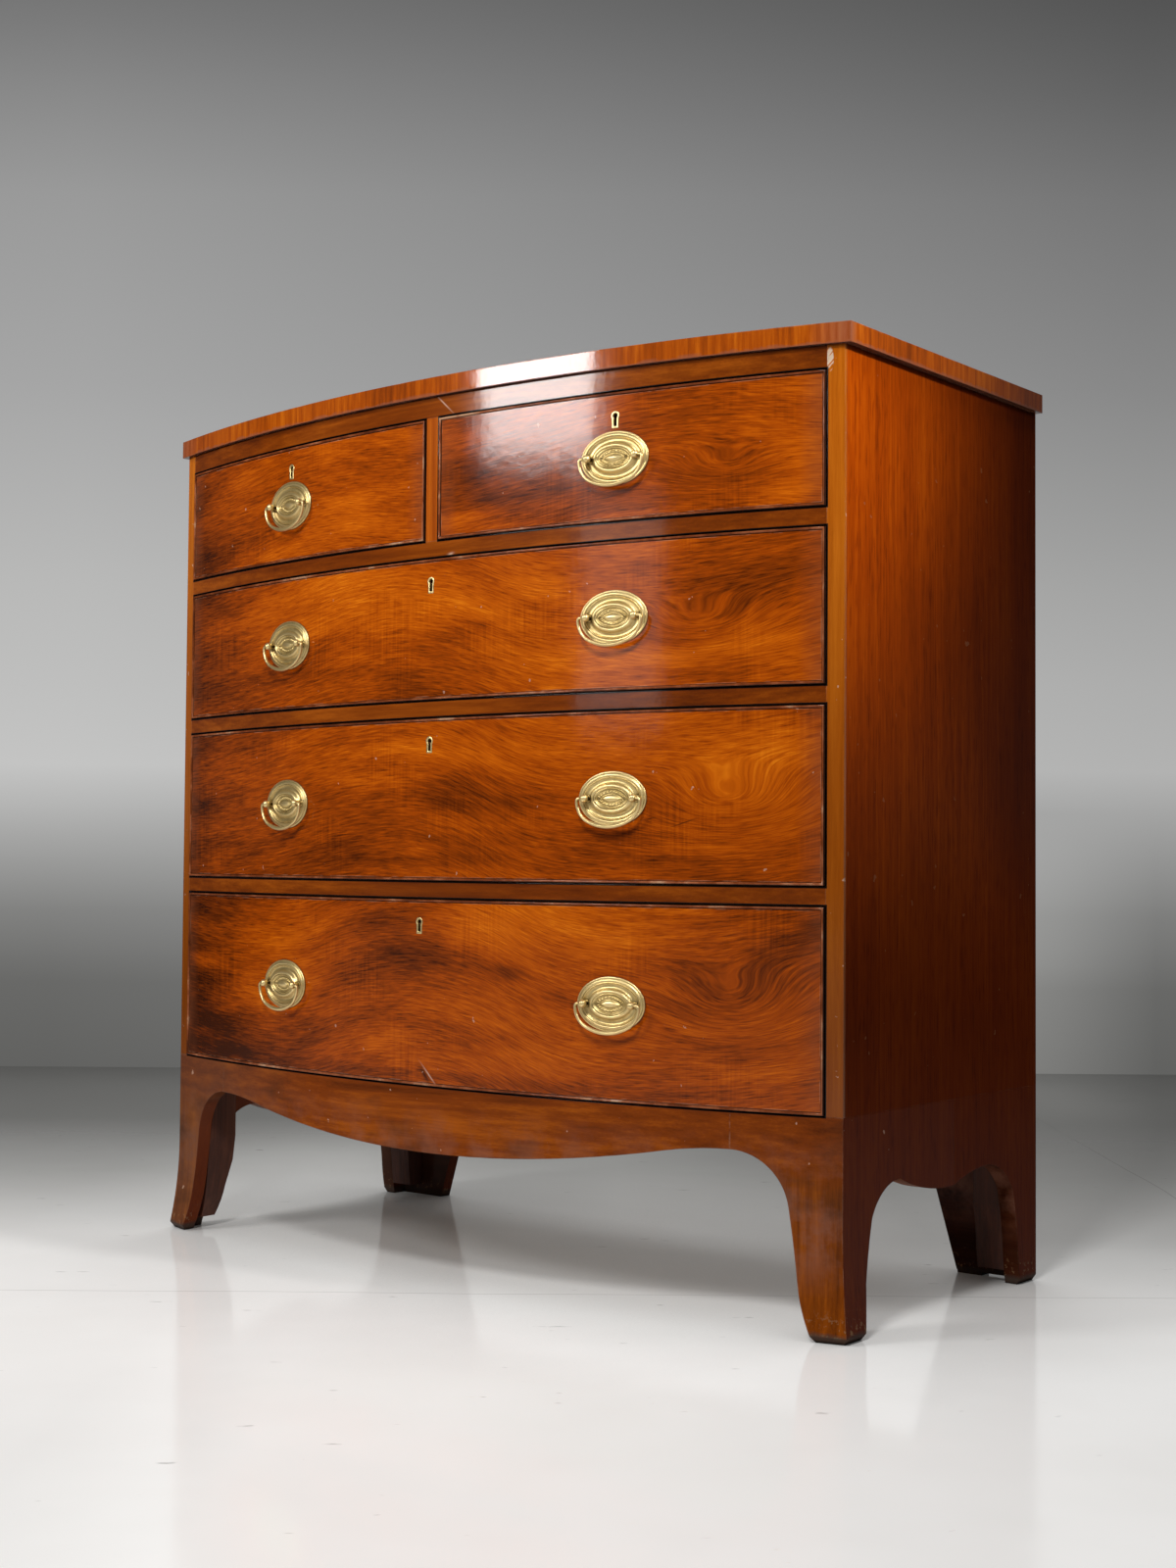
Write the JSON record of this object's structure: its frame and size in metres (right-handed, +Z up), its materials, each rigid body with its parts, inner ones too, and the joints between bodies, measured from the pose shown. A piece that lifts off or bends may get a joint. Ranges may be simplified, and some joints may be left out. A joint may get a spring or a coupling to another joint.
{
  "type": "bow front chest of drawers",
  "caption": "Bow front chest of drawers with short drawers over long ones, oval drop handles, a shaped apron and splayed bracket feet.",
  "frame": {"origin": "on the floor, at the middle of the top's width and depth", "axes": "+Z up, -Y out of the bowed front, +X to the viewer's right"},
  "size_m": [1.04, 0.503, 1.0401],
  "materials": {
    "mahogany": "gloss",
    "mahogany_flame": "gloss",
    "mahogany_stile": "gloss",
    "oak": "raw",
    "pine": "raw",
    "brass": "satin",
    "iron": "satin"
  },
  "bodies": {
    "case": {"top_board": "mahogany", "side_left": "mahogany", "side_right": "mahogany", "corner_stiles": "mahogany_stile", "back_boards": "pine", "drawer_runners": "pine", "dust_boards": "pine", "drawer_stops": "pine", "apron": "mahogany", "foot_front_left": "mahogany", "foot_front_right": "mahogany", "rear_feet": "mahogany", "foot_blocks": "pine", "bottom_board": "pine", "top_rail": "mahogany", "drawer_rails": "mahogany", "muntin": "mahogany"},
    "left_drawer": {"left_drawer_front": "mahogany_flame", "left_drawer_cockbead": "mahogany_stile", "left_drawer_box": "oak", "left_drawer_bottom": "pine", "left_drawer_fittings": "brass", "left_drawer_lock": "iron"},
    "left_drawer_bolt_slide": {"left_drawer_bolt": "iron"},
    "left_drawer_bail_swing": {"left_drawer_bail": "brass"},
    "right_drawer": {"right_drawer_front": "mahogany_flame", "right_drawer_cockbead": "mahogany_stile", "right_drawer_box": "oak", "right_drawer_bottom": "pine", "right_drawer_fittings": "brass", "right_drawer_lock": "iron"},
    "right_drawer_bolt_slide": {"right_drawer_bolt": "iron"},
    "right_drawer_bail_swing": {"right_drawer_bail": "brass"},
    "upper_drawer": {"upper_drawer_front": "mahogany_flame", "upper_drawer_cockbead": "mahogany_stile", "upper_drawer_box": "oak", "upper_drawer_bottom": "pine", "upper_drawer_fittings": "brass", "upper_drawer_lock": "iron"},
    "upper_drawer_bolt_slide": {"upper_drawer_bolt": "iron"},
    "upper_drawer_bail_left_swing": {"upper_drawer_bail_left": "brass"},
    "upper_drawer_bail_right_swing": {"upper_drawer_bail_right": "brass"},
    "middle_drawer": {"middle_drawer_front": "mahogany_flame", "middle_drawer_cockbead": "mahogany_stile", "middle_drawer_box": "oak", "middle_drawer_bottom": "pine", "middle_drawer_fittings": "brass", "middle_drawer_lock": "iron"},
    "middle_drawer_bolt_slide": {"middle_drawer_bolt": "iron"},
    "middle_drawer_bail_left_swing": {"middle_drawer_bail_left": "brass"},
    "middle_drawer_bail_right_swing": {"middle_drawer_bail_right": "brass"},
    "lower_drawer": {"lower_drawer_front": "mahogany_flame", "lower_drawer_cockbead": "mahogany_stile", "lower_drawer_box": "oak", "lower_drawer_bottom": "pine", "lower_drawer_fittings": "brass", "lower_drawer_lock": "iron"},
    "lower_drawer_bolt_slide": {"lower_drawer_bolt": "iron"},
    "lower_drawer_bail_left_swing": {"lower_drawer_bail_left": "brass"},
    "lower_drawer_bail_right_swing": {"lower_drawer_bail_right": "brass"}
  },
  "joints": [
    {"name": "left_drawer_slide", "type": "slide", "parent": "case", "child": "left_drawer", "axis": [0, -1, 0], "range_m": [0, 0.3]},
    {"name": "left_lock_throw", "type": "slide", "parent": "left_drawer", "child": "left_drawer_bolt_slide", "axis": [0, 0, 1], "range_m": [0, 0.006]},
    {"name": "left_drawer_bail_hinge", "type": "hinge", "parent": "left_drawer", "child": "left_drawer_bail_swing", "pos_m": [-0.25544, -0.23838, 0.9211], "axis": [-0.9905, 0.1373, 0], "range_deg": [-10, 185]},
    {"name": "right_drawer_slide", "type": "slide", "parent": "case", "child": "right_drawer", "axis": [0, -1, 0], "range_m": [0, 0.3]},
    {"name": "right_lock_throw", "type": "slide", "parent": "right_drawer", "child": "right_drawer_bolt_slide", "axis": [0, 0, 1], "range_m": [0, 0.006]},
    {"name": "right_drawer_bail_hinge", "type": "hinge", "parent": "right_drawer", "child": "right_drawer_bail_swing", "pos_m": [0.25544, -0.23838, 0.9211], "axis": [-0.9905, -0.1373, 0], "range_deg": [-10, 185]},
    {"name": "upper_drawer_slide", "type": "slide", "parent": "case", "child": "upper_drawer", "axis": [0, -1, 0], "range_m": [0, 0.3]},
    {"name": "upper_lock_throw", "type": "slide", "parent": "upper_drawer", "child": "upper_drawer_bolt_slide", "axis": [0, 0, 1], "range_m": [0, 0.006]},
    {"name": "upper_drawer_bail_left_hinge", "type": "hinge", "parent": "upper_drawer", "child": "upper_drawer_bail_left_swing", "pos_m": [-0.25544, -0.23838, 0.74815], "axis": [-0.9905, 0.1373, 0], "range_deg": [-10, 185]},
    {"name": "upper_drawer_bail_right_hinge", "type": "hinge", "parent": "upper_drawer", "child": "upper_drawer_bail_right_swing", "pos_m": [0.25544, -0.23838, 0.74815], "axis": [-0.9905, -0.1373, 0], "range_deg": [-10, 185]},
    {"name": "middle_drawer_slide", "type": "slide", "parent": "case", "child": "middle_drawer", "axis": [0, -1, 0], "range_m": [0, 0.3]},
    {"name": "middle_lock_throw", "type": "slide", "parent": "middle_drawer", "child": "middle_drawer_bolt_slide", "axis": [0, 0, 1], "range_m": [0, 0.006]},
    {"name": "middle_drawer_bail_left_hinge", "type": "hinge", "parent": "middle_drawer", "child": "middle_drawer_bail_left_swing", "pos_m": [-0.25544, -0.23838, 0.5527], "axis": [-0.9905, 0.1373, 0], "range_deg": [-10, 185]},
    {"name": "middle_drawer_bail_right_hinge", "type": "hinge", "parent": "middle_drawer", "child": "middle_drawer_bail_right_swing", "pos_m": [0.25544, -0.23838, 0.5527], "axis": [-0.9905, -0.1373, 0], "range_deg": [-10, 185]},
    {"name": "lower_drawer_slide", "type": "slide", "parent": "case", "child": "lower_drawer", "axis": [0, -1, 0], "range_m": [0, 0.3]},
    {"name": "lower_lock_throw", "type": "slide", "parent": "lower_drawer", "child": "lower_drawer_bolt_slide", "axis": [0, 0, 1], "range_m": [0, 0.006]},
    {"name": "lower_drawer_bail_left_hinge", "type": "hinge", "parent": "lower_drawer", "child": "lower_drawer_bail_left_swing", "pos_m": [-0.25544, -0.23838, 0.33225], "axis": [-0.9905, 0.1373, 0], "range_deg": [-10, 185]},
    {"name": "lower_drawer_bail_right_hinge", "type": "hinge", "parent": "lower_drawer", "child": "lower_drawer_bail_right_swing", "pos_m": [0.25544, -0.23838, 0.33225], "axis": [-0.9905, -0.1373, 0], "range_deg": [-10, 185]}
  ]
}
